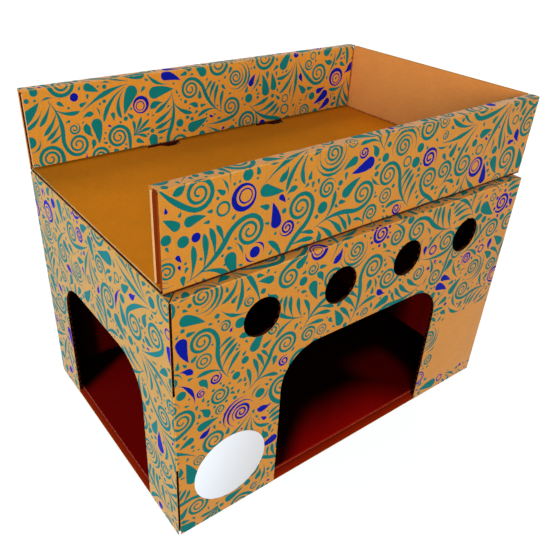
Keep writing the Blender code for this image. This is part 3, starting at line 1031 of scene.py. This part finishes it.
# %% Spirals, rings, drops and dots
def draw_beaded(ink):
    """A spiral with a row of beads on its outer turn."""
    pens = ink.curl(spiral(11, 2.2, 2.0), swell(3.6, 0.5, 0.5, 0.1))
    for pen in pens[2:19:3]:
        ink.dot(1.9, pen @ at(0, -4.6), 10)


def draw_moon(ink):
    ink.ring(11.5, 3.2, 1.6)
    ink.ring(6.4, 1.3, 0.2, at(1.8))


def draw_eye(ink):
    """A round spot between two crescent strokes."""
    ink.dot(6.0)
    for side in (0, 180):
        ink.stroke(spiral(9.4, 9.4, 0.36), lens(2.4), at(0, 0, side) @ at(1, -9.4))


def draw_pair(ink):
    ink.drop(5.6, 27, 0.18)
    ink.drop(4.6, 22, 0.18, at(3, -12, -4))


def draw_double_ring(ink):
    ink.ring(7.6, 1.7)
    ink.ring(3.8, 1.5)


for draw in (draw_plume, draw_wave, draw_twin, draw_echo, draw_scroll, draw_short_scroll,
             draw_spray, draw_beaded, draw_moon, draw_eye, draw_pair, draw_double_ring):
    motif(draw.__name__.removeprefix("draw_"), draw)

SIMPLE = {
    "spiral": (Motif.curl, spiral(9.8, 1.9, 2.0), swell(3.1, 0.15, 0.6, 0.2)),
    "small_spiral": (Motif.curl, spiral(6.6, 1.6, 1.6), swell(2.4, 0.2, 0.65, 0.2)),
    "ring": (Motif.ring, 6.2, 2.0),
    "big_drop": (Motif.drop, 6.6, 30, 0.14),
    "drop": (Motif.drop, 4.6, 19, -0.16),
    "small_drop": (Motif.drop, 2.7, 10.5, 0.12),
    "tiny_drop": (Motif.drop, 1.6, 5.6, 0.1),
    "bean": (Motif.stroke, bend(17, 60), leaf(8.0, 0.55)),
    "blade": (Motif.stroke, bend(34, 62), lens(4.4)),
    "small_blade": (Motif.stroke, bend(18, 55), lens(3.0)),
    "spot": (Motif.dot, 5.0),
    "dot": (Motif.dot, 2.6, at(), 12),
    "small_dot": (Motif.dot, 1.4, at(), 10),
}
for name, part_and_sizes in SIMPLE.items():
    motif(name, *part_and_sizes)
print("motifs with their mirror images:", len(MOTIFS))

# %% [markdown]
# ## Filling the sheets
#
# Large motifs are tried at random places first, then smaller and smaller ones,
# and one stays only where a map of the sheet is still free. The random numbers
# are seeded, so the sheet is the same each time. One patch low on the front
# wall stays bare.

# %% A map of a printed sheet
CELL, MARGIN, INK_GAP = 0.8 * MM, 70 * MM, 1.3 * MM
CELL_SLACK = 0.3  # the gap round a motif may be this part of a cell wider


class Sheet:
    """A flat sheet with a map of where there is ink, or has to be none."""

    def __init__(self, low, high, bare=()):
        self.low, self.high = np.array(low), np.array(high)
        self.corner = self.low - MARGIN
        self.taken = np.zeros(self.cell(self.high + MARGIN) + 1, bool)
        self.marks = []
        for u0, v0, u1, v1 in bare:
            first, last = self.cell((u0, v0)), self.cell((u1, v1))
            self.taken[first[0]:last[0], first[1]:last[1]] = True
        reach = INK_GAP / CELL
        near = range(-math.ceil(reach), math.ceil(reach) + 1)
        self.brim = np.array([(i, j) for i in near for j in near
                              if math.hypot(i, j) <= reach + CELL_SLACK])

    def cell(self, spot):
        return ((np.array(spot) - self.corner) / CELL).astype(int)

    def try_motif(self, name, ink, scale, angle, spot):
        points = MOTIFS[name][1]
        turn = np.array([[math.cos(angle), math.sin(angle)], [-math.sin(angle), math.cos(angle)]])
        cells = self.cell(scale * points @ turn + spot)
        if self.taken[cells[:, 0], cells[:, 1]].any():
            return
        for step in self.brim:
            self.taken[cells[:, 0] + step[0], cells[:, 1] + step[1]] = True
        place = moved(*spot) @ spun(angle)
        reach = scale * float(np.hypot(*points.T).max())
        self.marks.append((name, ink, place @ Matrix.Diagonal((scale, scale, 1, 1)), reach))


# Motifs in the order of trying: tries on a square metre, share in blue, smallest and largest scale.
FILLING = [
    (("plume", "wave"), 4000, 0.0, 0.82, 1.0),
    (("echo", "twin", "scroll"), 7000, 0.03, 0.85, 1.0),
    (("pair", "beaded", "moon"), 1800, 0.9, 0.85, 1.1),
    (("short_scroll", "spray", "big_drop", "echo"), 14000, 0.08, 0.75, 1.05),
    (("spiral", "big_drop", "eye", "blade"), 16000, 0.14, 0.8, 1.1),
    (("small_spiral", "double_ring", "ring", "drop", "bean", "spot"), 36000, 0.2, 0.8, 1.15),
    (("small_drop", "small_blade", "small_spiral", "bean"), 30000, 0.1, 0.7, 1.1),
    (("small_drop", "dot", "tiny_drop"), 30000, 0.08, 0.8, 1.1),
    (("tiny_drop", "small_dot"), 20000, 0.05, 0.8, 1.1),
]


def fill(sheet, seed):
    pick = random.Random(seed)
    area = float(np.prod(sheet.high - sheet.low))
    for names, tries, blue, smallest, largest in FILLING:
        for _ in range(round(tries * area)):
            name = pick.choice(names) + pick.choice(("", "_mirrored"))
            ink = "blue" if pick.random() < blue else "teal"
            spot = [pick.uniform(low, high) for low, high in zip(sheet.low, sheet.high)]
            scale, angle = pick.uniform(smallest, largest), pick.uniform(0, 2 * math.pi)
            sheet.try_motif(name, ink, scale, angle, spot)
    return sheet


BARE = (HOUSE_D + 362 * MM, 20 * MM, HOUSE_D + 446 * MM, 114 * MM)  # left, foot, right, head
SLEEVE_SEED, TRAY_SEED = 11, 5
SHEETS = {
    "sleeve": fill(Sheet((0, -FLANGE), (2 * (HOUSE_W + HOUSE_D), HOUSE_H + FLANGE), [BARE]),
                   SLEEVE_SEED),
    "tray": fill(Sheet((-TRAY_H, -2 * TRAY_H - ROLL), (TRAY_W, TRAY_D + 2 * TRAY_H + ROLL)),
                 TRAY_SEED),
}
for name, sheet in SHEETS.items():
    taken = round(100 * sheet.taken.mean())
    print(name, "sheet:", len(sheet.marks), "motifs,", taken, "% of the map taken")

# %% The ink that falls on one panel
def panel_ink(panel):
    sheet, to_panel = SHEETS[panel.sheet], panel.on_sheet.inverted()
    bm = bmesh.new()
    for name, ink, place, reach in sheet.marks:
        spot = to_panel @ place
        u, v = spot.translation.x, spot.translation.y
        if not (-reach < u < panel.size[0] + reach and -reach < v < panel.size[1] + reach):
            continue
        stamp = MOTIFS[name][0].copy()
        stamp.transform(spot)
        stamp.polygons.foreach_set("material_index", [list(INKS).index(ink)] * len(stamp.polygons))
        bm.from_mesh(stamp)
        bpy.data.meshes.remove(stamp)
    trim(bm, paper_limits(panel, 0))
    return face_sheet(bm, panel, INK_DEPTH, INK_THICKNESS)


trial = panel_ink(PANELS["tray_right_wall"])
print("ink on the tray's right wall:", len(trial.faces), "faces")
trial.free()

# %% [markdown]
# ## Building every panel
#
# Each board piece stands for its CAD node and rides on that node's body, so
# the bottom flanges swing, and the tray and the floor panel lift, with their ink.

# %% Make a piece of several sheets
SHARP = math.radians(50)


def make_piece(name, parts, materials, body):
    joined = bmesh.new()
    for index, part in enumerate(parts):
        if len(parts) > 1:
            for face in part.faces:
                face.material_index = index
        layer = as_mesh(part, name)
        joined.from_mesh(layer)
        bpy.data.meshes.remove(layer)
    mesh = as_mesh(joined, name)
    mesh.polygons.foreach_set("use_smooth", [True] * len(mesh.polygons))
    mesh.set_sharp_from_angle(angle=SHARP)
    for material in materials:
        mesh.materials.append(material)
    piece = as_object(name, mesh)
    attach(piece, body)
    return piece


print("edges over", round(math.degrees(SHARP)), "degrees stay sharp")

# %% All boards and their ink
pieces = []
for panel in PANELS.values():
    parts = [outer_paper(panel), inner_paper(panel), wave_paper(panel)]
    board = make_piece(panel.name + "_board", parts, board_papers(panel), panel.body)
    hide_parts(panel.name)
    pieces.append(board)
    if panel.sheet is not None:
        print_piece = make_piece(panel.name + "_print", [panel_ink(panel)], INKS.values(),
                                 panel.body)
        pieces.append(print_piece)
print("pieces:", len(pieces), "faces:", sum(len(piece.data.polygons) for piece in pieces))

# %% [markdown]
# ## The round sticker
#
# A white paper disc with a plain face and a beveled rim is stuck low on the
# front wall.

# %% Sticker
STICKER_RADIUS, STICKER_STEPS = 41 * MM, 72
STICKER_PAPER, STICKER_BEVEL = 0.35 * MM, 0.1 * MM
STICKER_DEPTH = 0.05 * MM  # how deep the paper's face lies under the solid's
sticker_low, sticker_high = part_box("round_sticker")
bm = bmesh.new()
bmesh.ops.create_circle(bm, cap_ends=True, segments=STICKER_STEPS, radius=STICKER_RADIUS)
thickened(bm, STICKER_PAPER)
rim = [edge for edge in bm.edges
       if edge.calc_length() > MM and all(vert.co.z > -TOUCH for vert in edge.verts)]
bmesh.ops.bevel(bm, geom=rim, offset=STICKER_BEVEL, segments=2, affect="EDGES", profile=0.5,
                material=-1)
centre = (sticker_low + sticker_high) / 2
centre.y = sticker_low.y + STICKER_DEPTH
upright = Matrix.Translation(centre) @ Matrix.Rotation(math.pi / 2, 4, "X")
bmesh.ops.transform(bm, matrix=upright, verts=bm.verts)
sticker = make_piece("round_sticker_paper", [bm], [STICKER], "house")
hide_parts("round_sticker")
print("sticker:", len(sticker.data.polygons), "faces")

# %% [markdown]
# ## Floor, light and camera
#
# The camera looks down at the front left corner from arm's length. Broad light
# comes from the left and the front, so the left wall is the brightest side. The
# cabin is dark mostly by painted shade in its lining, with painted daylight near the doorways.

# %% Floor
def seen_ray(tree):
    """1 for a ray that shows the surroundings: straight, mirrored, or through something clear."""
    rays = tree.nodes.new("ShaderNodeLightPath").outputs
    kinds = ("Is Camera Ray", "Is Glossy Ray", "Is Transmission Ray")
    return sum(Wire(tree, rays[kind]) for kind in kinds)


FLOOR_REACH, FLOOR_GLOW = 6, 0.92  # metres from the middle, and how pale it looks
bm = bmesh.new()
bmesh.ops.create_grid(bm, x_segments=1, y_segments=1, size=FLOOR_REACH)
floor = as_object("floor", as_mesh(bm, "floor"))
material, inputs, place = new_material("pale_floor", 0.9)
plug(inputs["Base Color"], (0.15, 0.15, 0.15, 1))
plug(inputs["Emission Strength"], seen_ray(place.tree) * FLOOR_GLOW)
plug(inputs["Emission Color"], (1, 1, 1, 1))
floor.data.materials.append(material)
floor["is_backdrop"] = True
print("floor is", round(floor.dimensions.x), "m wide")

# %% World and lamps
scene = bpy.context.scene
scene.view_settings.view_transform = "Standard"
world = bpy.data.worlds.new("studio")
world.use_nodes = True
scene.world = world
sky = seen_ray(world.node_tree).mix((0.2, 0.2, 0.2, 1), (1, 1, 1, 1))
plug(world.node_tree.nodes["Background"].inputs["Color"], sky)
LOOK_AT = Vector((0, 0, 0.15))


def lamp(name, place, size, power, colour):
    """A square soft light that looks at the house."""
    light = bpy.data.lights.new(name, "AREA")
    light.size, light.energy, light.color = size, power, colour
    obj = as_object(name, light)
    obj.location = place
    obj.rotation_euler = (LOOK_AT - Vector(place)).to_track_quat("-Z", "Y").to_euler()
    return obj


for soft in (lamp("left_window", (-2.6, -0.2, 0.8), 1.6, 34, (0.37, 1.04, 1.78)),
             lamp("front_window", (-3.0, -3.9, 1.5), 2.2, 226, (1.0, 0.97, 0.92)),
             lamp("roof_window", (0.5, 1.9, 2.6), 1.6, 36, (1.0, 0.93, 0.84))):
    soft.visible_glossy = False

# %% Camera
camera_data = bpy.data.cameras.new("camera")
camera_data.sensor_width = 36
camera_data.lens = 39.3
camera_data.shift_x, camera_data.shift_y = 0.0513, -0.0088
camera = as_object("camera", camera_data)
camera.location = (-0.40284, -0.47962, 0.53761)
camera.rotation_euler = [math.radians(angle) for angle in (57.818, -1.926, -36.000)]
scene.camera = camera
print("camera height in m:", round(camera.location.z, 3))

# %% Print the visual box, and finish
low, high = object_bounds()
print("visual box in mm:", [round(1000 * side, 2) for side in high - low])
